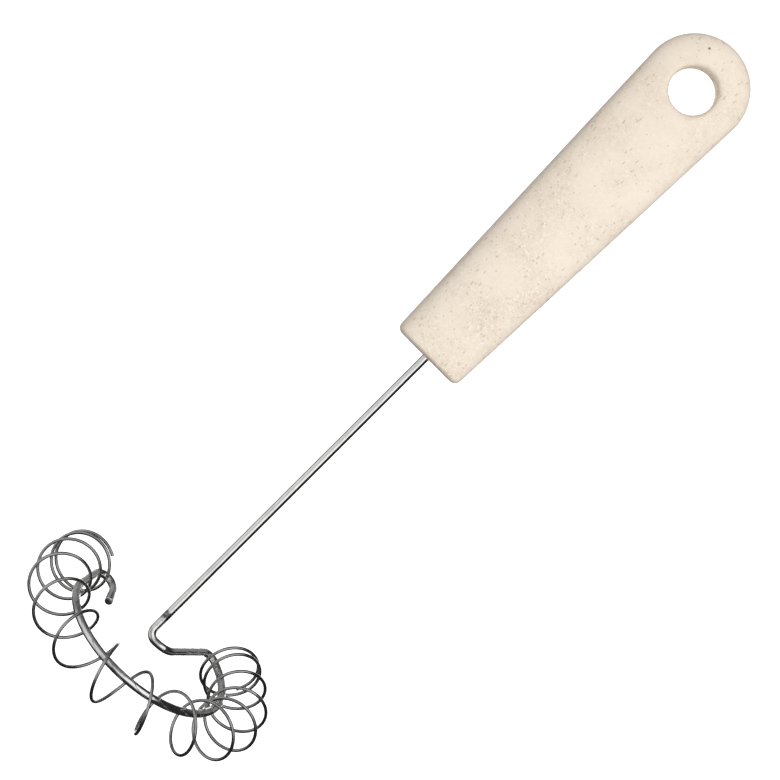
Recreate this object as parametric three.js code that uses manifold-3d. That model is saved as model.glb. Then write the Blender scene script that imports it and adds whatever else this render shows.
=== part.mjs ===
// A spiral whisk, in millimetres. A moulded handle with a hanging hole grips one long steel wire.
// That wire is the shaft, the neck, an open ring and the hook at the ring's end.
// A loose coil of thinner wire is threaded on the ring and slides along it.
// +Z runs up the shaft to the handle. +X is the side where the neck meets the ring.
// The handle's front faces -Y. The origin is the middle of the hanging hole.

import * as THREE from "three";
import { mergeVertices } from "three/addons/utils/BufferGeometryUtils.js";
import Module from "manifold-3d";

// The handle, seen from the front
const handleLength = 130.75;
const endRadius = 16.85;
const neckEndWidth = 24.8;
const sideCrown = 0.08;
const neckCornerRadius = 2.3;
const holeRadius = 7.15;
const holeToEndCentre = 1.15;

// The handle, seen from the side
const thicknessAtNeck = 12;
const thicknessAtGrip = 13.4;
const thicknessAtHole = 11.6;
const neckEdgeRadius = 1;
const endEdgePower = 3.4;
const sectionPower = 2.5;
const holeRimRadius = 2.2;

// The core wire
const coreDiameter = 2.5;
const tangDepth = 45;
const tangFootLength = 7;
const tangBendRadius = 3;
const tangClearance = 0.3;
const shaftLength = 117.8;
const shaftBendRadius = 2.9;
const neckBendRadius = 4.7;
const ringEntryBendRadius = 2.9;
const hookSweepRadius = 4;
const hookFoldRadius = 3.2;
const hookReturnRadius = 6.9;

// The ring, an arc whose plane leans forward. Its angles run from the lowest point towards +X.
const ringRadius = 27.6;
const ringTiltAngle = 20;
const ringRollAngle = 1.9;
const ringSideways = 2.2;
const ringBelowShaftEnd = 1.3;
const ringNeckAngle = 136;
const ringHookAngle = -80;

// Corners of the neck and hook before they are rounded, in the ring's plane and above it
const neckCorner = new THREE.Vector3(5.3, 0.1, 1.6);
const ringEntryReach = 5.35;
const hookSweepReach = 0.9;
const hookFoldCorner = new THREE.Vector3(-25.9, 17, 0);
const hookReturnCorner = new THREE.Vector3(-19.2, 10.1, 0);
const hookTip = new THREE.Vector3(-17.6, 1.4, 0);

// The coil
const coilWireDiameter = 1;
const coilRadius = 9.05;
const coilMiddleRadius = 8.6;
const coilTurns = 14.42;
const coilStartPhase = -27;
const coilMiddleAngle = 16.1;
const coilSeatGap = 0.4;
const coilEndSlack = 1.8;
const middlePitchAngle = 23.6;
const openEndPitchAngle = 7.4;
const pitchDriftAngle = -1.1;
const closedPitchAngle = 3.7;
const closedTurns = 0.9;
const openingTurns = 0.76;
const endLeanAngle = 3.4;
const leanTurns = 2.7;
const leastSelfGap = 0.4;

// How finely the forms are cut into flat faces
const handleSides = 40;
const handleStations = 9;
const cornerStations = 4;
const endStations = 9;
const coreSides = 12;
const bendStep = 15;
const ringStep = 6;
const coilSides = 6;
const coilStepsPerTurn = 24;
const cutterSides = 32;

const radians = THREE.MathUtils.degToRad;

// Heights that several pieces share
const handleTop = holeToEndCentre + endRadius;
const neckFace = handleTop - handleLength;
const shaftEnd = neckFace - shaftLength;
const coreRadius = coreDiameter / 2;

const library = await Module();
library.setup();

function solidOf(geometry) {
  const bare = new THREE.BufferGeometry();
  bare.setAttribute("position", geometry.getAttribute("position"));
  bare.setIndex(geometry.getIndex());
  const merged = mergeVertices(bare, 1e-4);
  return new library.Manifold(
    new library.Mesh({
      numProp: 3,
      vertProperties: merged.getAttribute("position").array,
      triVerts: new Uint32Array(merged.getIndex().array),
    }),
  );
}

function geometryOf(solid) {
  const mesh = solid.getMesh();
  const geometry = new THREE.BufferGeometry();
  geometry.setAttribute("position", new THREE.BufferAttribute(mesh.vertProperties, 3));
  geometry.setIndex(new THREE.BufferAttribute(mesh.triVerts, 1));
  const flat = geometry.toNonIndexed();
  flat.computeVertexNormals();
  return flat;
}

// A round wire along a list of points, with flat ends. Each joint is cut at the mean direction.
function wireAlong(points, radius, sides) {
  const corners = [];
  const faces = [];
  const last = points.length - 1;
  const direction = (i) => points[i + 1].clone().sub(points[i]).normalize();
  let across = new THREE.Vector3(0, 1, 0);
  if (Math.abs(direction(0).y) > 0.9) {
    across = new THREE.Vector3(1, 0, 0);
  }
  points.forEach((point, i) => {
    const before = direction(Math.max(i - 1, 0));
    const after = direction(Math.min(i, last - 1));
    const mean = before.clone().add(after).normalize();
    across.addScaledVector(mean, -across.dot(mean)).normalize();
    const up = mean.clone().cross(across);
    for (let k = 0; k < sides; k += 1) {
      const turn = (2 * Math.PI * k) / sides;
      const out = across.clone().multiplyScalar(Math.cos(turn)).addScaledVector(up, Math.sin(turn));
      corners.push(point.clone().addScaledVector(out, radius));
    }
  });
  corners.push(points[0], points[last]);
  for (let k = 0; k < sides; k += 1) {
    const next = (k + 1) % sides;
    faces.push(corners.length - 2, next, k);
    faces.push(corners.length - 1, last * sides + k, last * sides + next);
    for (let i = 0; i < last; i += 1) {
      const here = i * sides;
      const there = here + sides;
      faces.push(here + k, here + next, there + next);
      faces.push(here + k, there + next, there + k);
    }
  }
  const geometry = new THREE.BufferGeometry().setFromPoints(corners);
  geometry.setIndex(faces);
  const flat = geometry.toNonIndexed();
  flat.computeVertexNormals();
  return flat;
}

// Straight lines between corners, with each inner corner rounded to its own bend radius.
function bentLine(corners, bendRadii) {
  const points = [corners[0].clone()];
  bendRadii.forEach((radius, i) => {
    const corner = corners[i + 1];
    const back = corners[i].clone().sub(corner).normalize();
    const ahead = corners[i + 2].clone().sub(corner).normalize();
    const opening = back.angleTo(ahead);
    const start = corner.clone().addScaledVector(back, radius / Math.tan(opening / 2));
    const inward = back.clone().add(ahead).normalize();
    const centre = corner.clone().addScaledVector(inward, radius / Math.sin(opening / 2));
    const outward = start.clone().sub(centre);
    const swept = Math.PI - opening;
    const steps = Math.ceil(swept / radians(bendStep));
    for (let k = 0; k <= steps; k += 1) {
      const turn = (swept * k) / steps;
      const point = centre.clone().addScaledVector(outward, Math.cos(turn));
      points.push(point.addScaledVector(back, -radius * Math.sin(turn)));
    }
  });
  points.push(corners[corners.length - 1].clone());
  return points;
}

// Half the handle's width and thickness at a height above the origin.
function handleHalfSize(height) {
  const fromNeck = height - neckFace;
  const endCentre = holeToEndCentre;
  const along = THREE.MathUtils.clamp(fromNeck / (endCentre - neckFace), 0, 1);
  const taper = THREE.MathUtils.lerp(neckEndWidth / 2, endRadius, along);
  const crown = 4 * sideCrown * along * (1 - along);
  const grip = thicknessAtGrip - (thicknessAtNeck + thicknessAtHole) / 2;
  const straight = THREE.MathUtils.lerp(thicknessAtNeck, thicknessAtHole, along);
  const size = {
    width: taper + crown,
    thickness: straight / 2 + 2 * grip * along * (1 - along),
  };
  if (height > endCentre) {
    const share = Math.min((height - endCentre) / endRadius, 1);
    size.width = endRadius * Math.sqrt(1 - share ** 2);
    size.thickness *= (1 - share ** endEdgePower) ** (1 / endEdgePower);
  }
  size.width -= roundedInset(fromNeck, neckCornerRadius);
  size.thickness -= roundedInset(fromNeck, neckEdgeRadius);
  return size;
}

// How far a rounded corner draws in at a distance from the face that it rounds.
function roundedInset(distance, radius) {
  const short = Math.max(radius - distance, 0);
  return radius - Math.sqrt(radius ** 2 - short ** 2);
}

function handleHeights() {
  const heights = [];
  for (let i = 0; i < cornerStations; i += 1) {
    heights.push(neckFace + neckCornerRadius * (1 - Math.cos((i / cornerStations) * (Math.PI / 2))));
  }
  for (let i = 0; i < handleStations; i += 1) {
    heights.push(
      THREE.MathUtils.lerp(neckFace + neckCornerRadius, holeToEndCentre, i / handleStations),
    );
  }
  for (let i = 0; i < endStations; i += 1) {
    heights.push(holeToEndCentre + endRadius * Math.sin((i / endStations) * (Math.PI / 2)));
  }
  return heights;
}

// A drum of unit radius is given the handle's width and thickness at each height.
function handleBody() {
  const heights = handleHeights();
  const profile = [new THREE.Vector2(0, neckFace)];
  heights.forEach((height) => profile.push(new THREE.Vector2(1, height)));
  profile.push(new THREE.Vector2(0, handleTop));
  const drum = new THREE.LatheGeometry(profile, handleSides);
  drum.rotateX(Math.PI / 2);
  const place = drum.getAttribute("position");
  for (let i = 0; i < place.count; i += 1) {
    const reach = Math.hypot(place.getX(i), place.getY(i));
    if (reach > 0.5) {
      const size = handleHalfSize(place.getZ(i));
      const squared = 2 / sectionPower;
      const x = place.getX(i) / reach;
      const y = place.getY(i) / reach;
      place.setX(i, size.width * Math.sign(x) * Math.abs(x) ** squared);
      place.setY(i, size.thickness * Math.sign(y) * Math.abs(y) ** squared);
    }
  }
  return drum;
}

// The hanging hole is straight in the middle and flares to a rounded rim at both faces.
function holeCutter() {
  const half = handleHalfSize(0).thickness;
  const straight = half - holeRimRadius;
  const profile = [];
  const rimSteps = 5;
  for (let i = 0; i <= rimSteps; i += 1) {
    const turn = (i / rimSteps) * (Math.PI / 2);
    const flare = holeRimRadius * (1 - Math.cos(turn));
    profile.push(
      new THREE.Vector2(holeRadius + flare, straight + holeRimRadius * Math.sin(turn)),
    );
  }
  profile.push(new THREE.Vector2(holeRadius + holeRimRadius, half + holeRimRadius));
  profile.push(new THREE.Vector2(0, half + holeRimRadius));
  const mirrored = profile.map((point) => new THREE.Vector2(point.x, -point.y)).reverse();
  return new THREE.LatheGeometry([...mirrored, ...profile], cutterSides);
}

// The hidden end of the core wire is a straight tang with a sideways foot that locks it in.
function tangLine(extra) {
  const foot = neckFace + tangDepth;
  return bentLine(
    [
      new THREE.Vector3(tangFootLength + extra, 0, foot),
      new THREE.Vector3(0, 0, foot),
      new THREE.Vector3(0, 0, neckFace - extra),
    ],
    [tangBendRadius],
  );
}

function makeHandle() {
  const socket = wireAlong(tangLine(tangClearance), coreRadius + tangClearance, coreSides);
  const drilled = solidOf(handleBody()).subtract(solidOf(holeCutter()));
  return geometryOf(drilled.subtract(solidOf(socket)));
}

const ringFrame = new THREE.Group();
ringFrame.position.set(ringSideways, 0, shaftEnd - ringBelowShaftEnd);
ringFrame.rotation.set(radians(ringTiltAngle), -radians(ringRollAngle), 0, "YXZ");
ringFrame.updateMatrixWorld();

// A point in the ring's own frame, by its angle round the ring, its reach from the ring's
// centre and its height above the ring's plane.
function roundRing(angle, reach, height) {
  const turn = radians(angle);
  return new THREE.Vector3(reach * Math.sin(turn), -reach * Math.cos(turn), height);
}

// The ring's direction of travel as its angle grows.
function ringHeading(angle) {
  const turn = radians(angle);
  return new THREE.Vector3(Math.cos(turn), Math.sin(turn), 0);
}

function coreLine() {
  const placed = (point) => ringFrame.localToWorld(point.clone());
  const neckJoin = roundRing(ringNeckAngle, ringRadius, 0);
  const entry = neckJoin.clone().addScaledVector(ringHeading(ringNeckAngle), ringEntryReach);
  const shaftCorner = new THREE.Vector3(0, 0, shaftEnd);
  const neck = bentLine(
    [tangLine(0).pop(), shaftCorner, placed(neckCorner), placed(entry), placed(neckJoin)],
    [shaftBendRadius, neckBendRadius, ringEntryBendRadius],
  );
  const arc = [];
  const arcSteps = Math.round((ringNeckAngle - ringHookAngle) / ringStep);
  for (let i = 1; i < arcSteps; i += 1) {
    const angle = THREE.MathUtils.lerp(ringNeckAngle, ringHookAngle, i / arcSteps);
    arc.push(placed(roundRing(angle, ringRadius, 0)));
  }
  const hookJoin = roundRing(ringHookAngle, ringRadius, 0);
  const sweep = hookJoin.clone().addScaledVector(ringHeading(ringHookAngle), -hookSweepReach);
  const hook = bentLine(
    [hookJoin, sweep, hookFoldCorner, hookReturnCorner, hookTip].map(placed),
    [hookSweepRadius, hookFoldRadius, hookReturnRadius],
  );
  return [...tangLine(0).slice(0, -1), ...neck.slice(1), ...arc, ...hook];
}

// Degrees of ring that one turn of the coil covers: closed at both ends and widest in the middle.
function pitchAt(turn) {
  const opened = (fromEnd) =>
    THREE.MathUtils.smoothstep(fromEnd, closedTurns, closedTurns + openingTurns);
  const open = opened(turn) * opened(coilTurns - turn);
  const share = (2 * turn) / coilTurns - 1;
  const crowned = openEndPitchAngle + (middlePitchAngle - openEndPitchAngle) * (1 - share ** 2);
  return closedPitchAngle + open * (crowned + pitchDriftAngle * share - closedPitchAngle);
}

// The end turns lean, so that their inner sides spread towards the coil's ends.
function leanAt(turn) {
  const start = 1 - THREE.MathUtils.smoothstep(turn, 0, leanTurns);
  const end = 1 - THREE.MathUtils.smoothstep(coilTurns - turn, 0, leanTurns);
  return endLeanAngle * (start - end);
}

// The coil's line round the ring. Its middle turns are stretched, so they are a little narrower.
function coilLine() {
  const steps = 2 * Math.round((coilTurns * coilStepsPerTurn) / 2);
  const angles = [0];
  for (let i = 0; i < steps; i += 1) {
    angles.push(angles[i] + pitchAt((i + 0.5) / coilStepsPerTurn) / coilStepsPerTurn);
  }
  const seat = coreRadius + coilWireDiameter / 2 + coilSeatGap;
  const points = angles.map((angle, i) => {
    const turn = i / coilStepsPerTurn;
    const share = (2 * turn) / coilTurns - 1;
    const phase = radians(coilStartPhase + 360 * turn);
    const along = angle - angles[steps / 2] + coilMiddleAngle + leanAt(turn) * Math.sin(phase);
    const stretched = (1 - share ** 2) ** 4;
    const radius = THREE.MathUtils.lerp(coilRadius, coilMiddleRadius, stretched);
    const offset = radius - seat - coilEndSlack * share ** 2;
    const reach = ringRadius + offset + radius * Math.sin(phase);
    return roundRing(along, reach, radius * Math.cos(phase));
  });
  const straightEnd = (end, inner) =>
    end.clone().addScaledVector(end.clone().sub(inner).normalize(), coilWireDiameter);
  const first = straightEnd(points[0], points[1]);
  const last = straightEnd(points[steps], points[steps - 1]);
  return [first, ...points, last];
}

// The least gap between wires of turns that lie next to each other, measured on their points.
function gapBetweenTurns(points) {
  const halfTurn = coilStepsPerTurn / 2;
  let least = Infinity;
  points.forEach((point, i) => {
    points.slice(i + halfTurn).forEach((other) => {
      least = Math.min(least, point.distanceTo(other) - coilWireDiameter);
    });
  });
  return least;
}

const handleMaterial = new THREE.MeshStandardMaterial({
  color: 0xf2e3d0,
  roughness: 0.75,
  metalness: 0,
});
const coreMaterial = new THREE.MeshStandardMaterial({
  color: 0xc4c4c2,
  roughness: 0.22,
  metalness: 1,
});
const coilMaterial = new THREE.MeshStandardMaterial({
  color: 0xa8a8a6,
  roughness: 0.3,
  metalness: 1,
});

const handle = new THREE.Mesh(makeHandle(), handleMaterial);
handle.name = "handle";

const coreWire = new THREE.Mesh(wireAlong(coreLine(), coreRadius, coreSides), coreMaterial);
coreWire.name = "core_wire";

const coilPoints = coilLine();
const coilGap = gapBetweenTurns(coilPoints);
console.log(`The coil's least gap to itself is ${coilGap.toFixed(2)} mm, and ${leastSelfGap} is needed.`);
const coil = new THREE.Mesh(wireAlong(coilPoints, coilWireDiameter / 2, coilSides), coilMaterial);
coil.name = "coil";
ringFrame.add(coil);

const whisk = new THREE.Group();
whisk.add(handle, coreWire, ringFrame);

export default whisk;
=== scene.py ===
"""A spiral whisk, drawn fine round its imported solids.

The handle is moulded from a pale composite with plant fibre in it. One steel wire is its shaft, neck,
ring and hook, and a loose coil of thinner wire rides on the ring. Sizes are written in millimetres and
become metres when a piece is finished.
"""

import math

import bmesh
import bpy
from mathutils import Matrix, Vector


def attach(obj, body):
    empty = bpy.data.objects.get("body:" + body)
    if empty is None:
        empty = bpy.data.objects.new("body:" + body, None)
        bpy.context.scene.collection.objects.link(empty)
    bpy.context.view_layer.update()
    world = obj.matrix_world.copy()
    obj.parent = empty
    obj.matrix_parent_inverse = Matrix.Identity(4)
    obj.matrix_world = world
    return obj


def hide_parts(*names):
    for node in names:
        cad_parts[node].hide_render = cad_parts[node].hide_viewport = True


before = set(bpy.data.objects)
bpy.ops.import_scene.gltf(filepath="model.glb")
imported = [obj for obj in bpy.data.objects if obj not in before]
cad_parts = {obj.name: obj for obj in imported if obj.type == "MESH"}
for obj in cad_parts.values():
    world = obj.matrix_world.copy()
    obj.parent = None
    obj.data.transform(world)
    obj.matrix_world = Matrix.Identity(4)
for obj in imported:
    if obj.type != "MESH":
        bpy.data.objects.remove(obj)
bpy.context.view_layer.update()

MM = 0.001

# The handle
HANDLE_LENGTH = 130.75
END_RADIUS = 16.85
NECK_END_WIDTH = 24.8
SIDE_CROWN = 0.08
NECK_CORNER_RADIUS = 2.3
HOLE_RADIUS = 7.35
HOLE_TO_END_CENTRE = 1.15
THICKNESS_AT_NECK = 12.0
THICKNESS_AT_GRIP = 13.4
THICKNESS_AT_HOLE = 11.6
NECK_EDGE_RADIUS = 1.3
NECK_EDGE_FALL = 3.1
END_EDGE_POWER = 2.8
SECTION_POWER = 2.5
HOLE_RIM_RADIUS = 2.2
HOLE_CLEARANCE = 3.0
SEED, SEED_EDGE, SEED_CORE = (-5.5, -5.2, 12.3), 0.7, 0.4
HANDLE_TOP = HOLE_TO_END_CENTRE + END_RADIUS
NECK_FACE = HANDLE_TOP - HANDLE_LENGTH

# The core wire
CORE_RADIUS = 1.29
TANG_DEPTH = 45.0
TANG_FOOT = 7.0
TANG_BEND = 3.0
TANG_CLEARANCE = 0.3
# A painted dark reflection on the shaft near its lower bend: its place, and how far out it starts and where
# it is full
SHAFT_END = NECK_FACE - 117.8
DARK_REFLECTION_SPOT = SHAFT_END + 8.1
DARK_REFLECTION_EDGE, DARK_REFLECTION_CORE, DARK_REFLECTION_RAGGEDNESS = 3.6, 2.6, 2.6
SHAFT_BEND, NECK_BEND, RING_ENTRY_BEND = 2.9, 4.7, 2.9
HOOK_SWEEP, HOOK_FOLD, HOOK_RETURN = 4.0, 3.2, 6.9

# The ring, and the corners that lead into it and out of it, in the ring's plane
RING_RADIUS = 27.6
RING_TILT = 20.0
RING_ROLL = 1.9
RING_CENTRE = (2.2, 0.0, SHAFT_END - 1.3)
RING_NECK_ANGLE = 136.0
RING_HOOK_ANGLE = -80.0
RING_ENTRY_REACH = 5.35
HOOK_SWEEP_REACH = 0.9
NECK_CORNER = (5.3, 0.1, 1.6)
HOOK_CORNERS = ((-25.9, 17.0, 0.0), (-19.2, 10.1, 0.0))
HOOK_TIP = (-17.6, 1.4, 0.0)

# The coil
COIL_WIRE_RADIUS = 0.52
COIL_RADIUS = 9.05
COIL_MIDDLE_RADIUS = 8.6
COIL_TURNS = 14.42
COIL_START_PHASE = -27.0
COIL_MIDDLE_ANGLE = 16.1
COIL_SEAT_GAP = 0.34
COIL_END_SLACK = 1.8
MIDDLE_PITCH, OPEN_END_PITCH, PITCH_DRIFT, CLOSED_PITCH = 23.6, 7.4, -1.1, 3.7
CLOSED_TURNS, OPENING_TURNS = 0.9, 0.76
END_LEAN, LEAN_TURNS = 3.4, 2.7
COIL_STEPS = 64
COIL_MIDDLE_POWER = 4

# How far the hand-pulled coil strays from an even one, at equal steps from the hook to the neck:
# its radius and its reach from the ring in millimetres, its place and its lean in degrees of ring
COIL_RADIUS_STRAY = (0.17, -0.23, -0.08, -0.2, -0.25, 0.0, 0.02, -0.11, 0.03)
COIL_REACH_STRAY = (0.19, -0.04, 0.22, -0.11, -0.44, -0.02, -0.07, -0.13, 0.32)
COIL_PLACE_STRAY = (0.23, 0.0, 0.56, -0.93, 0.41, 0.72, -1.29, 0.09, -0.16)
COIL_LEAN_STRAY = (-0.68, 0.92, -0.61, -1.13, 0.15, 0.97, -0.13, -0.63, 0.1)

# How finely the handle is sliced and its skin is laid, and the angle past which an edge stays sharp
SECTION_SIDES = 128
CORNER_SLICES, GRIP_SLICES, END_SLICES = 10, 36, 28
RIM_STEPS, HOLE_STEPS = 12, 120
CUT_MATCH, WELD = 1e-5, 1e-4
SKIN_CELL = 0.42
SKIN_SMOOTHINGS = 3
SHARP_ANGLE = 40.0

# How finely the wires are drawn, and how far their cut ends are rounded off
SHAFT_STEPS, RING_STEPS = 8, 108
CORE_SIDES, CORE_END_ROUNDING = 32, 0.22
COIL_SIDES, COIL_END_ROUNDING = 16, 0.1

# The colours of the composite and of the steel
COMPOSITE_DULL = (0.822, 0.7, 0.568, 1)
COMPOSITE_BRIGHT = (0.905, 0.797, 0.668, 1)
COMPOSITE_MOTTLE = (0.925, 0.826, 0.707, 1)
# Partly the composite's pale fibre, partly a painted highlight on the raised grain
PALE_FIBRE_AND_HIGHLIGHT = (1.0, 0.97, 0.9, 1)
# Painted shade in the hollows of the bumped grain
PIT_SHADE = (0.45, 0.36, 0.27, 1)
BROWN_FIBRE = (0.37, 0.29, 0.2, 1)
SEED_COLOUR = (0.1, 0.07, 0.05, 1)
CORE_BRIGHT, CORE_DULL = (0.96, 0.96, 0.955, 1), (0.78, 0.78, 0.775, 1)
COIL_BRIGHT, COIL_DULL = (0.51, 0.51, 0.505, 1), (0.39, 0.39, 0.385, 1)
CORE_ROUGHNESS, COIL_ROUGHNESS = 0.08, 0.16
# The colour of the painted dark reflection on the core wire
DARK_REFLECTION_COLOUR = (0.06, 0.06, 0.06, 1)

# The picture and the light, in metres and watts
CAMERA_PLACE = (-0.00063, -0.9, -0.12725)
CAMERA_LENS, CAMERA_SENSOR = 138.46, 36.0
PICTURE_RIGHT, PICTURE_UP = (0.7063, 0, 0.7079), (-0.7079, 0, 0.7063)
LAMP_AIM = (0.0, 0.0, -0.11)
KEY_PLACE, KEY_SIDE, KEY_POWER = (0.42, -0.94, 0.0), 0.7, 4.9
BACK_PLACE, BACK_SIDE, BACK_POWER = (-0.3, 0.75, 0.05), 0.6, 5.6
FLOOR_PLACE, FLOOR_HALF, FLOOR_GLOW = (0, 0.8, -0.12), 0.36, 0.75
CLOTH_RADIUS = 1.5
UP = (0, 0, 1)


def mix(a, b, share):
    return a + (b - a) * share


def ease(value, low, high):
    share = min(max((value - low) / (high - low), 0.0), 1.0)
    return share * share * (3.0 - 2.0 * share)


# The lines that the wires follow


def through(values, share):
    """The value of a smooth curve through equally spaced values, at a share of the way along it."""
    place = min(max(share, 0.0), 1.0) * (len(values) - 1)
    i = min(int(place), len(values) - 2)
    f = place - i
    a, b, c, d = (values[min(max(k, 0), len(values) - 1)] for k in range(i - 1, i + 3))
    return b + 0.5 * f * (c - a + f * (2 * a - 5 * b + 4 * c - d + f * (3 * (b - c) + d - a)))


def bent_line(corners, bend_radii, step=4.0):
    """Straight lines between corners, each inner corner rounded to its own bend radius."""
    corners = [Vector(corner) for corner in corners]
    points = [corners[0]]
    for before, corner, after, radius in zip(corners, corners[1:], corners[2:], bend_radii):
        back = (before - corner).normalized()
        ahead = (after - corner).normalized()
        opening = back.angle(ahead)
        start = corner + back * (radius / math.tan(opening / 2))
        centre = corner + (back + ahead).normalized() * (radius / math.sin(opening / 2))
        swept = math.pi - opening
        steps = max(2, math.ceil(swept / math.radians(step)))
        for i in range(steps + 1):
            turn = swept * i / steps
            points.append(centre + (start - centre) * math.cos(turn) - back * radius * math.sin(turn))
    points.append(corners[-1])
    return points


RING_FRAME = (
    Matrix.Translation(RING_CENTRE)
    @ Matrix.Rotation(-math.radians(RING_ROLL), 4, "Y")
    @ Matrix.Rotation(math.radians(RING_TILT), 4, "X")
)


def round_ring(angle, reach, height=0.0):
    """A point by its angle round the ring, its reach from the ring's centre and its height above it."""
    turn = math.radians(angle)
    return Vector((reach * math.sin(turn), -reach * math.cos(turn), height))


def ring_heading(angle):
    turn = math.radians(angle)
    return Vector((math.cos(turn), math.sin(turn), 0.0))


def tang_line(extra=0.0):
    foot = NECK_FACE + TANG_DEPTH
    corners = [(TANG_FOOT + extra, 0, foot), (0, 0, foot), (0, 0, NECK_FACE - extra)]
    return bent_line(corners, [TANG_BEND])


def core_line():
    neck_join = round_ring(RING_NECK_ANGLE, RING_RADIUS)
    entry = neck_join + ring_heading(RING_NECK_ANGLE) * RING_ENTRY_REACH
    placed = [RING_FRAME @ Vector(point) for point in (NECK_CORNER, entry, neck_join)]
    heights = [mix(NECK_FACE, SHAFT_END, i / SHAFT_STEPS) for i in range(SHAFT_STEPS)]
    shaft = [Vector((0, 0, height)) for height in heights]
    neck = bent_line([shaft[-1], (0, 0, SHAFT_END), *placed], [SHAFT_BEND, NECK_BEND, RING_ENTRY_BEND])
    angles = [mix(RING_NECK_ANGLE, RING_HOOK_ANGLE, i / RING_STEPS) for i in range(1, RING_STEPS)]
    arc = [RING_FRAME @ round_ring(angle, RING_RADIUS) for angle in angles]
    hook_join = round_ring(RING_HOOK_ANGLE, RING_RADIUS)
    sweep = hook_join - ring_heading(RING_HOOK_ANGLE) * HOOK_SWEEP_REACH
    corners = [RING_FRAME @ Vector(point) for point in (hook_join, sweep, *HOOK_CORNERS, HOOK_TIP)]
    hook = bent_line(corners, [HOOK_SWEEP, HOOK_FOLD, HOOK_RETURN])
    return tang_line()[:-1] + shaft[:-1] + neck + arc + hook


def coil_pitch(turn):
    """Degrees of ring that one turn covers: closed at both ends and widest in the middle."""
    open_share = ease(turn, CLOSED_TURNS, CLOSED_TURNS + OPENING_TURNS)
    open_share *= ease(COIL_TURNS - turn, CLOSED_TURNS, CLOSED_TURNS + OPENING_TURNS)
    share = 2 * turn / COIL_TURNS - 1
    crowned = mix(OPEN_END_PITCH, MIDDLE_PITCH, 1 - share * share)
    return mix(CLOSED_PITCH, crowned + PITCH_DRIFT * share, open_share)


def coil_line():
    steps = 2 * round(COIL_TURNS * COIL_STEPS / 2)
    angles = [0.0]
    for i in range(steps):
        angles.append(angles[-1] + coil_pitch((i + 0.5) / COIL_STEPS) / COIL_STEPS)
    seat = CORE_RADIUS + COIL_WIRE_RADIUS + COIL_SEAT_GAP
    points = []
    for i, angle in enumerate(angles):
        turn = i / COIL_STEPS
        passed = turn / COIL_TURNS
        share = 2 * passed - 1
        phase = math.radians(COIL_START_PHASE + 360 * turn)
        lean = END_LEAN * (ease(COIL_TURNS - turn, 0, LEAN_TURNS) - ease(turn, 0, LEAN_TURNS))
        lean += through(COIL_LEAN_STRAY, passed)
        along = angle - angles[steps // 2] + COIL_MIDDLE_ANGLE + lean * math.sin(phase)
        along += through(COIL_PLACE_STRAY, passed)
        radius = mix(COIL_RADIUS, COIL_MIDDLE_RADIUS, (1 - share**2) ** COIL_MIDDLE_POWER)
        radius += through(COIL_RADIUS_STRAY, passed)
        offset = radius - seat - COIL_END_SLACK * share**2 + through(COIL_REACH_STRAY, passed)
        reach = RING_RADIUS + offset + radius * math.sin(phase)
        points.append(RING_FRAME @ round_ring(along, reach, radius * math.cos(phase)))
    first = points[0] + (points[0] - points[1]).normalized() * 2 * COIL_WIRE_RADIUS
    last = points[-1] + (points[-1] - points[-2]).normalized() * 2 * COIL_WIRE_RADIUS
    return [first, *points, last]


# The pieces


def finished(name, bm, body, *nodes, slot=None):
    """Turns a shape in millimetres into a smooth piece in metres that rides on a body."""
    bmesh.ops.recalc_face_normals(bm, faces=bm.faces)
    bmesh.ops.scale(bm, vec=(MM, MM, MM), verts=bm.verts)
    mesh = bpy.data.meshes.new(name)
    bm.to_mesh(mesh)
    bm.free()
    mesh.shade_smooth()
    piece = bpy.data.objects.new(name, mesh)
    bpy.context.collection.objects.link(piece)
    if body:
        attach(piece, body)
        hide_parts(*nodes)
    return piece


def drawn_wire(points, radius, sides, end_rounding):
    """A round wire: circles set along the line and bridged, with its two cut ends rounded off."""
    bm = bmesh.new()
    along = bm.verts.layers.float.new("along")
    directions = [(b - a).normalized() for a, b in zip(points, points[1:])]
    across = directions[0].orthogonal().normalized()
    travelled = 0.0
    loops = []
    for i, point in enumerate(points):
        before = directions[max(i - 1, 0)]
        after = directions[min(i, len(directions) - 1)]
        mean = (before + after).normalized()
        across = (across - mean * across.dot(mean)).normalized()
        place = Matrix((across, mean.cross(across), mean)).transposed().to_4x4()
        place.translation = point
        if i:
            travelled += (point - points[i - 1]).length
        ring = bmesh.ops.create_circle(bm, segments=sides, radius=radius, matrix=place)["verts"]
        for vert in ring:
            vert[along] = travelled * MM
        loops.append(list({edge for vert in ring for edge in vert.link_edges}))
    for loop, following in zip(loops, loops[1:]):
        bmesh.ops.bridge_loops(bm, edges=loop + following)
    cap_edges = loops[0] + loops[-1]
    bmesh.ops.holes_fill(bm, edges=cap_edges, sides=0)
    if end_rounding:
        bmesh.ops.bevel(
            bm, geom=cap_edges, offset=end_rounding, segments=3, profile=0.5, affect="EDGES", material=-1
        )
    return bm


def inset_at(distance, radius):
    """How far a rounded corner draws in at a distance from the face that it rounds."""
    short = max(radius - distance, 0.0)
    return radius - math.sqrt(radius**2 - short**2)


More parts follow.
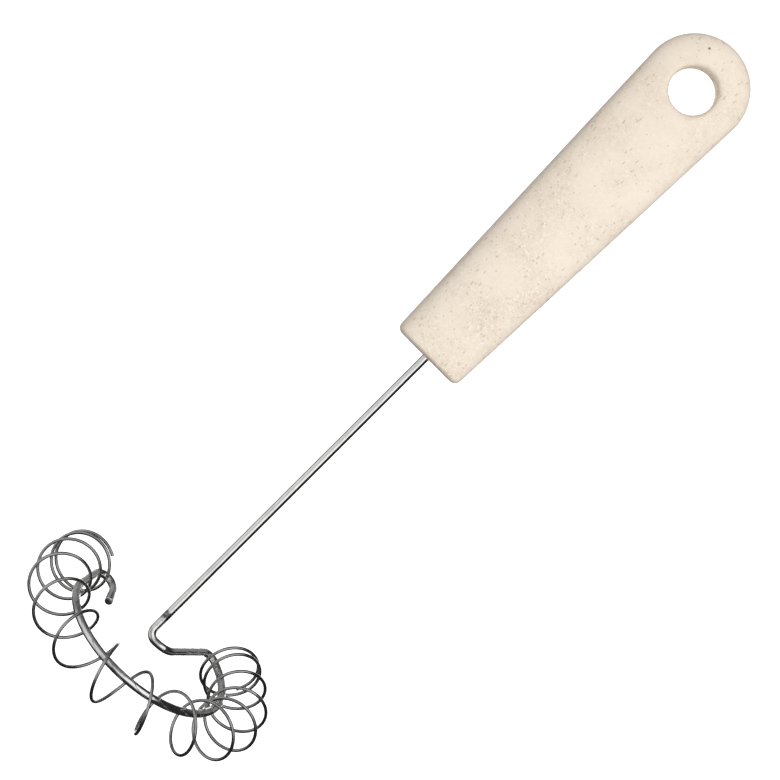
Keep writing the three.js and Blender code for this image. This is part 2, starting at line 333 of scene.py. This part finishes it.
def handle_half_size(height):
    from_neck = height - NECK_FACE
    along = min(max(from_neck / (HOLE_TO_END_CENTRE - NECK_FACE), 0.0), 1.0)
    bulge = along * (1 - along)
    width = mix(NECK_END_WIDTH / 2, END_RADIUS, along) + 4 * SIDE_CROWN * bulge
    grip = THICKNESS_AT_GRIP - (THICKNESS_AT_NECK + THICKNESS_AT_HOLE) / 2
    thickness = mix(THICKNESS_AT_NECK, THICKNESS_AT_HOLE, along) / 2 + 2 * grip * bulge
    if height > HOLE_TO_END_CENTRE:
        share = min((height - HOLE_TO_END_CENTRE) / END_RADIUS, 1.0)
        width = END_RADIUS * math.sqrt(1 - share**2)
        thickness *= (1 - share**END_EDGE_POWER) ** (1 / END_EDGE_POWER)
    width -= inset_at(from_neck, NECK_CORNER_RADIUS)
    thickness -= NECK_EDGE_FALL * inset_at(from_neck, NECK_EDGE_RADIUS)
    return width, thickness


def squared(value):
    return math.copysign(abs(value) ** (2 / SECTION_POWER), value)


def handle_blank():
    """The handle before it is drilled: a drum cut into slices, each drawn to its own rounded section."""
    bm = bmesh.new()
    bmesh.ops.create_cone(
        bm, cap_ends=True, segments=SECTION_SIDES, radius1=1, radius2=1, depth=HANDLE_LENGTH
    )
    bmesh.ops.translate(bm, vec=(0, 0, NECK_FACE + HANDLE_LENGTH / 2), verts=bm.verts)
    grip_start = NECK_FACE + NECK_CORNER_RADIUS
    turns = [math.pi / 2 * i / CORNER_SLICES for i in range(1, CORNER_SLICES)]
    corner = [NECK_FACE + NECK_CORNER_RADIUS * (1 - math.cos(turn)) for turn in turns]
    grip = [mix(grip_start, HOLE_TO_END_CENTRE, i / GRIP_SLICES) for i in range(GRIP_SLICES)]
    turns = [math.pi / 2 * i / END_SLICES for i in range(END_SLICES)]
    end = [HOLE_TO_END_CENTRE + END_RADIUS * math.sin(turn) for turn in turns]
    for height in corner + grip + end:
        everything = bm.verts[:] + bm.edges[:] + bm.faces[:]
        bmesh.ops.bisect_plane(
            bm, geom=everything, dist=CUT_MATCH, plane_co=(0, 0, height), plane_no=UP
        )
    for vert in bm.verts:
        width, thickness = handle_half_size(vert.co.z)
        vert.co.x = width * squared(vert.co.x)
        vert.co.y = thickness * squared(vert.co.y)
    bmesh.ops.remove_doubles(bm, verts=bm.verts, dist=WELD)
    return bm


def hole_cutter():
    """The hanging hole's tool: straight in the middle and flared to a rounded rim at both faces."""
    half = handle_half_size(0)[1]
    straight = half - HOLE_RIM_RADIUS
    outside = half + HOLE_CLEARANCE
    edge = [(0.0, outside), (HOLE_RADIUS + HOLE_RIM_RADIUS, outside)]
    for i in range(RIM_STEPS, -1, -1):
        turn = math.pi / 2 * i / RIM_STEPS
        flare = HOLE_RIM_RADIUS * (1 - math.cos(turn))
        edge.append((HOLE_RADIUS + flare, straight + HOLE_RIM_RADIUS * math.sin(turn)))
    edge += [(reach, -depth) for reach, depth in reversed(edge)]
    bm = bmesh.new()
    verts = [bm.verts.new((reach, depth, 0)) for reach, depth in edge]
    edges = [bm.edges.new(pair) for pair in zip(verts, verts[1:])]
    bmesh.ops.spin(
        bm,
        geom=verts + edges,
        axis=(0, 1, 0),
        cent=(0, 0, 0),
        angle=2 * math.pi,
        steps=HOLE_STEPS,
        use_merge=True,
    )
    bmesh.ops.remove_doubles(bm, verts=bm.verts, dist=WELD)
    return bm


def cut_away(piece, tool):
    cut = piece.modifiers.new("cut", "BOOLEAN")
    cut.operation = "DIFFERENCE"
    cut.solver = "EXACT"
    cut.object = tool


def settle(piece, *tools):
    """Applies a piece's modifiers to its mesh and removes the tools that they used."""
    graph = bpy.context.evaluated_depsgraph_get()
    mesh = bpy.data.meshes.new_from_object(piece.evaluated_get(graph))
    piece.modifiers.clear()
    piece.data = mesh
    for tool in tools:
        bpy.data.objects.remove(tool)


def make_handle():
    handle = finished("handle_body", handle_blank(), "frame", "handle", slot="handle_composite")
    drill = finished("drill", hole_cutter(), None)
    cut_away(handle, drill)
    skin = handle.modifiers.new("skin", "REMESH")
    skin.mode = "VOXEL"
    skin.voxel_size = SKIN_CELL * MM
    settle(handle, drill)
    bm = bmesh.new()
    bm.from_mesh(handle.data)
    for _ in range(SKIN_SMOOTHINGS):
        bmesh.ops.smooth_vert(
            bm, verts=bm.verts, factor=0.5, use_axis_x=True, use_axis_y=True, use_axis_z=True
        )
    bm.to_mesh(handle.data)
    bm.free()
    socket_wire = drawn_wire(tang_line(TANG_CLEARANCE), CORE_RADIUS + TANG_CLEARANCE, CORE_SIDES, 0)
    socket = finished("socket", socket_wire, None)
    cut_away(handle, socket)
    settle(handle, socket)
    handle.data.name = "handle_body"
    handle.data.shade_smooth()
    handle.data.set_sharp_from_angle(angle=math.radians(SHARP_ANGLE))
    return handle


handle_body = make_handle()
core_wire = drawn_wire(core_line(), CORE_RADIUS, CORE_SIDES, CORE_END_ROUNDING)
core = finished("core_wire_round", core_wire, "frame", "core_wire", slot="core_steel")
coil_wire = drawn_wire(coil_line(), COIL_WIRE_RADIUS, COIL_SIDES, COIL_END_ROUNDING)
coil = finished("coil_round", coil_wire, "spring", "coil", slot="coil_steel")

# The materials


class Nodes:
    """A short way to add nodes to a tree and join them."""

    def __init__(self, tree):
        self.tree = tree

    def add(self, kind, inputs=None, **settings):
        node = self.tree.nodes.new(kind)
        for key, value in settings.items():
            setattr(node, key, value)
        for key, value in (inputs or {}).items():
            if isinstance(value, bpy.types.NodeSocket):
                self.tree.links.new(value, node.inputs[key])
            else:
                node.inputs[key].default_value = value
        return node

    def maths(self, operation, a, b=0.5, clamp=False):
        return self.add("ShaderNodeMath", {0: a, 1: b}, operation=operation, use_clamp=clamp).outputs[0]

    def spread(self, value, low, high, to_low=0.0, to_high=1.0):
        inputs = {"Value": value, "From Min": low, "From Max": high, "To Min": to_low, "To Max": to_high}
        return self.add("ShaderNodeMapRange", inputs, interpolation_type="SMOOTHSTEP").outputs["Result"]

    def noise(self, vector, scale, detail, **more):
        inputs = {"Vector": vector, "Scale": scale, "Detail": detail, **more}
        return self.add("ShaderNodeTexNoise", inputs).outputs["Fac"]

    def distance(self, a, b):
        return self.add("ShaderNodeVectorMath", {0: a, 1: b}, operation="DISTANCE").outputs["Value"]

    def blend(self, share, a, b):
        node = self.add("ShaderNodeMix", {0: share, 6: a, 7: b}, data_type="RGBA")
        return node.outputs[2]


def new_material(name):
    material = bpy.data.materials.new(name)
    material.use_nodes = True
    nodes = Nodes(material.node_tree)
    return material, nodes, material.node_tree.nodes["Principled BSDF"]


def new_group(name, inputs, outputs):
    tree = bpy.data.node_groups.new(name, "ShaderNodeTree")
    for label, kind, value in inputs:
        socket = tree.interface.new_socket(label, in_out="INPUT", socket_type=kind)
        if value is not None:
            socket.default_value = value
    for label, kind in outputs:
        tree.interface.new_socket(label, in_out="OUTPUT", socket_type=kind)
    nodes = Nodes(tree)
    return tree, nodes, nodes.add("NodeGroupInput").outputs, nodes.add("NodeGroupOutput")


def fleck_group():
    """A mask of short strands: stretched cells, of which only a share is filled."""
    tree, nodes, given, out = new_group(
        "plant_flecks",
        [
            ("Vector", "NodeSocketVector", None),
            ("Turn", "NodeSocketVector", None),
            ("Stretch", "NodeSocketVector", None),
            ("Share", "NodeSocketFloat", 0.2),
            ("Size", "NodeSocketFloat", 0.3),
        ],
        [("Mask", "NodeSocketFloat")],
    )
    turned = nodes.add(
        "ShaderNodeMapping",
        {"Vector": given["Vector"], "Rotation": given["Turn"], "Scale": given["Stretch"]},
    ).outputs[0]
    warp = nodes.add("ShaderNodeTexNoise", {"Vector": turned, "Scale": 0.6, "Detail": 1.0}).outputs["Color"]
    bent = nodes.add("ShaderNodeVectorMath", {0: turned, 1: warp}, operation="ADD").outputs[0]
    cells = nodes.add("ShaderNodeTexVoronoi", {"Vector": bent, "Scale": 1.0})
    lot = nodes.add("ShaderNodeSeparateColor", {"Color": cells.outputs["Color"]}).outputs["Red"]
    chosen = nodes.maths("LESS_THAN", lot, given["Share"])
    inner = nodes.maths("MULTIPLY", given["Size"], 0.45)
    near = nodes.spread(cells.outputs["Distance"], given["Size"], inner)
    nodes.tree.links.new(nodes.maths("MULTIPLY", near, chosen), out.inputs["Mask"])
    return tree


def drawn_group():
    """Fine lines that the drawing die leaves along a wire, with duller stretches between them."""
    tree, nodes, given, out = new_group(
        "drawing_lines",
        [("Around", "NodeSocketVector", None), ("Along", "NodeSocketFloat", 0.0)],
        [("Lines", "NodeSocketFloat"), ("Dull", "NodeSocketFloat")],
    )
    stretched = nodes.add("ShaderNodeMapping", {"Vector": given["Around"], "Scale": (2600, 2600, 2600)})
    slow = nodes.maths("MULTIPLY", given["Along"], 90.0)
    lines = nodes.add(
        "ShaderNodeTexNoise",
        {"Vector": stretched.outputs[0], "W": slow, "Scale": 1.0, "Detail": 2.0},
        noise_dimensions="4D",
    ).outputs["Fac"]
    length = nodes.add("ShaderNodeCombineXYZ", {"X": given["Along"]}).outputs[0]
    patches = nodes.noise(length, 160.0, 3.0)
    nodes.tree.links.new(nodes.spread(lines, 0.3, 0.7), out.inputs["Lines"])
    nodes.tree.links.new(nodes.spread(patches, 0.35, 0.7), out.inputs["Dull"])
    return tree


def handle_material(flecks):
    material, nodes, shader = new_material("handle_composite")
    here = nodes.add("ShaderNodeTexCoord").outputs["Object"]

    def strands(turn, stretch, share, size):
        inputs = {"Vector": here, "Turn": turn, "Stretch": stretch, "Share": share, "Size": size}
        return nodes.add("ShaderNodeGroup", inputs, node_tree=flecks).outputs["Mask"]

    cloud = nodes.noise(here, 60.0, 3.0)
    mottle = nodes.noise(here, 700.0, 3.0)
    height = nodes.add("ShaderNodeSeparateXYZ", {0: here}).outputs["Z"]
    cloudy, low = nodes.spread(cloud, 0.35, 0.62, 0.4), nodes.spread(height, 0.0, -0.08, 0.5)
    crowd = nodes.maths("MULTIPLY", cloudy, low)
    colour = nodes.blend(nodes.spread(cloud, 0.68, 0.32), COMPOSITE_DULL, COMPOSITE_BRIGHT)
    mottled = nodes.maths("MULTIPLY", nodes.spread(mottle, 0.35, 0.75), 0.6)
    colour = nodes.blend(mottled, colour, COMPOSITE_MOTTLE)
    curls = nodes.noise(here, 850.0, 2.0, Distortion=2.2)
    # Pale flecks where the bump grain rises: partly pale fibre, partly painted highlight
    pale_fibre_and_highlight = nodes.maths("MULTIPLY", nodes.spread(curls, 0.56, 0.68), crowd)
    # Painted shade: where the bump grain sinks, the colour is darkened
    painted_pit_shade = nodes.maths("MULTIPLY", nodes.spread(curls, 0.44, 0.32), crowd)
    colour = nodes.blend(nodes.maths("MULTIPLY", pale_fibre_and_highlight, 0.8), colour, PALE_FIBRE_AND_HIGHLIGHT)
    colour = nodes.blend(nodes.maths("MULTIPLY", painted_pit_shade, 0.28), colour, PIT_SHADE)
    long_brown = strands((0, -0.7, 0), (1500, 800, 560), nodes.maths("MULTIPLY", crowd, 0.12), 0.46)
    short_brown = strands((0, 0.9, 0.4), (1200, 1000, 1400), nodes.maths("MULTIPLY", crowd, 0.13), 0.46)
    brown = nodes.maths("MAXIMUM", long_brown, short_brown)
    colour = nodes.blend(nodes.maths("MULTIPLY", brown, 0.38), colour, BROWN_FIBRE)
    seed_gap = nodes.distance(here, [side * MM for side in SEED])
    seed_mask = nodes.spread(seed_gap, SEED_EDGE * MM, SEED_CORE * MM)
    colour = nodes.blend(nodes.maths("MULTIPLY", seed_mask, 0.9), colour, SEED_COLOUR)
    nodes.tree.links.new(colour, shader.inputs["Base Color"])
    rough = nodes.spread(mottle, 0.3, 0.7, 0.5, 0.62)
    nodes.tree.links.new(rough, shader.inputs["Roughness"])
    grain = nodes.maths("SUBTRACT", nodes.maths("MULTIPLY", curls, 1.2), brown)
    bump = nodes.add("ShaderNodeBump", {"Height": grain, "Strength": 0.4, "Distance": 0.0002})
    nodes.tree.links.new(bump.outputs[0], shader.inputs["Normal"])
    shader.inputs["Specular IOR Level"].default_value = 0.35
    return material


def steel_material(name, lines, bright, dull, roughness, painted_reflection=None):
    """Drawn wire, with a painted dark reflection at one place where that is given."""
    material, nodes, shader = new_material(name)
    here = nodes.add("ShaderNodeTexCoord").outputs["Object"]
    along = nodes.add("ShaderNodeAttribute", attribute_name="along").outputs["Fac"]
    marks = nodes.add("ShaderNodeGroup", {"Around": here, "Along": along}, node_tree=lines).outputs
    colour = nodes.blend(nodes.maths("MULTIPLY", marks["Dull"], 0.6), bright, dull)
    colour = nodes.blend(nodes.maths("MULTIPLY", marks["Lines"], 0.25), colour, dull)
    # Painted dark reflection: the steel's colour is darkened round one place near the shaft's bend
    if painted_reflection:
        gap = nodes.distance(here, painted_reflection)
        ragged = nodes.noise(here, 1500.0, 2.0)
        gap = nodes.maths("ADD", gap, nodes.maths("MULTIPLY", ragged, DARK_REFLECTION_RAGGEDNESS * MM))
        painted_reflection_share = nodes.spread(gap, DARK_REFLECTION_EDGE * MM, DARK_REFLECTION_CORE * MM, 0.0, 0.92)
        colour = nodes.blend(painted_reflection_share, colour, DARK_REFLECTION_COLOUR)
    nodes.tree.links.new(colour, shader.inputs["Base Color"])
    from_lines = nodes.maths("MULTIPLY", marks["Lines"], 0.06)
    from_patches = nodes.maths("MULTIPLY", marks["Dull"], 0.06)
    rough = nodes.maths("ADD", nodes.maths("ADD", from_lines, from_patches), roughness)
    nodes.tree.links.new(rough, shader.inputs["Roughness"])
    waves = nodes.noise(here, 420.0, 1.0)
    bump = nodes.add("ShaderNodeBump", {"Height": waves, "Strength": 0.25, "Distance": 0.0004})
    nodes.tree.links.new(bump.outputs[0], shader.inputs["Normal"])
    shader.inputs["Metallic"].default_value = 1.0
    return material


drawing_lines = drawn_group()
handle_body.data.materials.clear()
handle_body.data.materials.append(handle_material(fleck_group()))
# Where the core wire's painted dark reflection sits
painted_reflection_place = (0, 0, DARK_REFLECTION_SPOT * MM)
core.data.materials.append(
    steel_material("core_steel", drawing_lines, CORE_BRIGHT, CORE_DULL, CORE_ROUGHNESS, painted_reflection_place)
)
coil.data.materials.append(
    steel_material("coil_steel", drawing_lines, COIL_BRIGHT, COIL_DULL, COIL_ROUGHNESS)
)
for node, piece in (("handle", handle_body), ("core_wire", core), ("coil", coil)):
    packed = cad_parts[node]
    for place in packed.material_slots:
        place.material = piece.data.materials[0]

# The camera, the floor and the light


def looking(obj, place, right, up):
    """Puts a camera or lamp at a place, turned so that its picture's right and up run as given."""
    right, up = Vector(right).normalized(), Vector(up).normalized()
    turned = Matrix((right, up, right.cross(up))).transposed().to_4x4()
    obj.matrix_world = Matrix.Translation(place) @ turned
    bpy.context.collection.objects.link(obj)


def softbox(name, place, side, power):
    """A square lamp that lights the whisk and isn't seen in it."""
    lamp = bpy.data.lights.new(name, "AREA")
    lamp.shape = "RECTANGLE"
    lamp.size, lamp.size_y = side, side
    lamp.energy = power
    box = bpy.data.objects.new(name, lamp)
    box.visible_camera = False
    box.visible_glossy = False
    back = (Vector(place) - Vector(LAMP_AIM)).normalized()
    right = Vector(UP).cross(back).normalized()
    looking(box, place, right, back.cross(right))


camera = bpy.data.objects.new("camera", bpy.data.cameras.new("camera"))
camera.data.sensor_width = CAMERA_SENSOR
camera.data.lens = CAMERA_LENS
looking(camera, CAMERA_PLACE, PICTURE_RIGHT, PICTURE_UP)
bpy.context.scene.camera = camera

softbox("key_softbox", KEY_PLACE, KEY_SIDE, KEY_POWER)
softbox("back_softbox", BACK_PLACE, BACK_SIDE, BACK_POWER)


def seen_white(nodes):
    """1 where the picture, a reflection or a glass looks at the background, and 0 for other light."""
    path = nodes.add("ShaderNodeLightPath").outputs
    mirrored = nodes.maths("MAXIMUM", path["Is Glossy Ray"], path["Is Transmission Ray"])
    return nodes.maths("MAXIMUM", path["Is Camera Ray"], mirrored)


def white_floor():
    """The plain pale surface behind the whisk. It is white to the camera and keeps a soft shadow."""
    bm = bmesh.new()
    upright = Matrix.Translation(FLOOR_PLACE) @ Matrix.Rotation(math.radians(90), 4, "X")
    bmesh.ops.create_grid(bm, x_segments=1, y_segments=1, size=FLOOR_HALF, matrix=upright)
    mesh = bpy.data.meshes.new("floor")
    bm.to_mesh(mesh)
    bm.free()
    floor = bpy.data.objects.new("floor", mesh)
    bpy.context.collection.objects.link(floor)
    material, nodes, shader = new_material("white_floor")
    shader.inputs["Base Color"].default_value = (0.9, 0.9, 0.9, 1)
    shader.inputs["Roughness"].default_value = 0.9
    shader.inputs["Emission Color"].default_value = (1, 1, 1, 1)
    glow = nodes.maths("MULTIPLY", seen_white(nodes), FLOOR_GLOW)
    nodes.tree.links.new(glow, shader.inputs["Emission Strength"])
    behind = nodes.add("ShaderNodeNewGeometry").outputs["Backfacing"]
    clear = nodes.add("ShaderNodeBsdfTransparent").outputs[0]
    both = nodes.add("ShaderNodeMixShader", {0: behind, 1: shader.outputs[0], 2: clear}).outputs[0]
    nodes.tree.links.new(both, nodes.tree.nodes["Material Output"].inputs["Surface"])
    mesh.materials.append(material)


white_floor()


def dark_surround():
    """Black cloth round the table, which only reflections see. White light comes in at its openings."""
    bm = bmesh.new()
    bmesh.ops.create_uvsphere(bm, u_segments=64, v_segments=32, radius=CLOTH_RADIUS)
    mesh = bpy.data.meshes.new("dark_surround")
    bm.to_mesh(mesh)
    bm.free()
    mesh.shade_smooth()
    cloth = bpy.data.objects.new("dark_surround", mesh)
    bpy.context.collection.objects.link(cloth)
    cloth.visible_camera = cloth.visible_diffuse = cloth.visible_shadow = False
    cloth.visible_transmission = cloth.visible_volume_scatter = False
    material, nodes, shader = new_material("dark_cloth")
    shader.inputs["Base Color"].default_value = (0.01, 0.01, 0.01, 1)
    shader.inputs["Roughness"].default_value = 1.0
    here = nodes.add("ShaderNodeTexCoord").outputs["Object"]
    facing = nodes.add("ShaderNodeVectorMath", {0: here}, operation="NORMALIZE").outputs[0]

    def opening(direction, edge, full, level=1.0):
        """A hole in the cloth round a direction, from where it starts to where it lets its level in."""
        inputs = {0: facing, 1: direction}
        towards = nodes.add("ShaderNodeVectorMath", inputs, operation="DOT_PRODUCT").outputs["Value"]
        return nodes.spread(towards, edge, full, 0.0, level)

    def both_open(a, b):
        return nodes.maths("MULTIPLY", a, b)

    curtain = opening((0.67, 0.74, 0.0), 0.04, -0.1)
    upright = both_open(opening((0.89, 0.45, 0.0), -0.7, -0.32), opening((0.83, 0.42, -0.37), -0.7, -0.32))
    upright = both_open(upright, opening((0.39, -0.89, 0.24), 0.25, 0.6))
    upright = both_open(upright, both_open(opening(UP, -0.8, -0.15), opening(UP, 0.99, 0.55)))
    level = both_open(opening(UP, -0.7, -0.1), opening(UP, 0.65, 0.12))
    level = both_open(level, opening((0.0, -1.0, 0.0), -0.4, 0.6, 0.62))
    left = opening((-0.8, -0.43, -0.42), 0.68, 0.97, 0.7)
    behind = both_open(opening(UP, -0.65, -0.2), opening(UP, 0.95, 0.45))
    behind = both_open(behind, opening((0.0, 1.0, 0.0), 0.0, 0.45, 0.26))
    behind = both_open(behind, opening((-0.7, 0.0, 0.7), -0.4, 0.1))
    above = opening((-0.54, -0.45, 0.71), 0.72, 0.97, 0.16)
    wide = nodes.maths("MAXIMUM", both_open(nodes.maths("MAXIMUM", upright, level), curtain), left)
    small = nodes.maths("ADD", behind, above)
    open_share = nodes.maths("ADD", nodes.maths("ADD", wide, small), 0.01, True)
    clear = nodes.add("ShaderNodeBsdfTransparent").outputs[0]
    both = nodes.add("ShaderNodeMixShader", {0: open_share, 1: shader.outputs[0], 2: clear}).outputs[0]
    nodes.tree.links.new(both, nodes.tree.nodes["Material Output"].inputs["Surface"])
    mesh.materials.append(material)


def studio_world():
    """White where it is seen. As light it is soft, and strongest from the front."""
    world = bpy.data.worlds.new("studio")
    bpy.context.scene.world = world
    world.use_nodes = True
    nodes = Nodes(world.node_tree)
    world.node_tree.nodes.clear()
    facing = nodes.add("ShaderNodeTexCoord").outputs["Generated"]
    front = {0: facing, 1: (0.15, -0.94, 0.3)}
    towards = nodes.add("ShaderNodeVectorMath", front, operation="DOT_PRODUCT")
    soft = nodes.spread(towards.outputs["Value"], -0.9, 1.0, 0.08, 0.74)
    seen = seen_white(nodes)
    unseen = nodes.maths("MULTIPLY", nodes.maths("SUBTRACT", 1.0, seen), soft)
    strength = nodes.maths("ADD", unseen, seen)
    background = nodes.add("ShaderNodeBackground", {"Color": (1, 1, 1, 1), "Strength": strength})
    out = nodes.add("ShaderNodeOutputWorld")
    nodes.tree.links.new(background.outputs[0], out.inputs["Surface"])


dark_surround()
studio_world()
bpy.context.scene.view_settings.view_transform = "Standard"
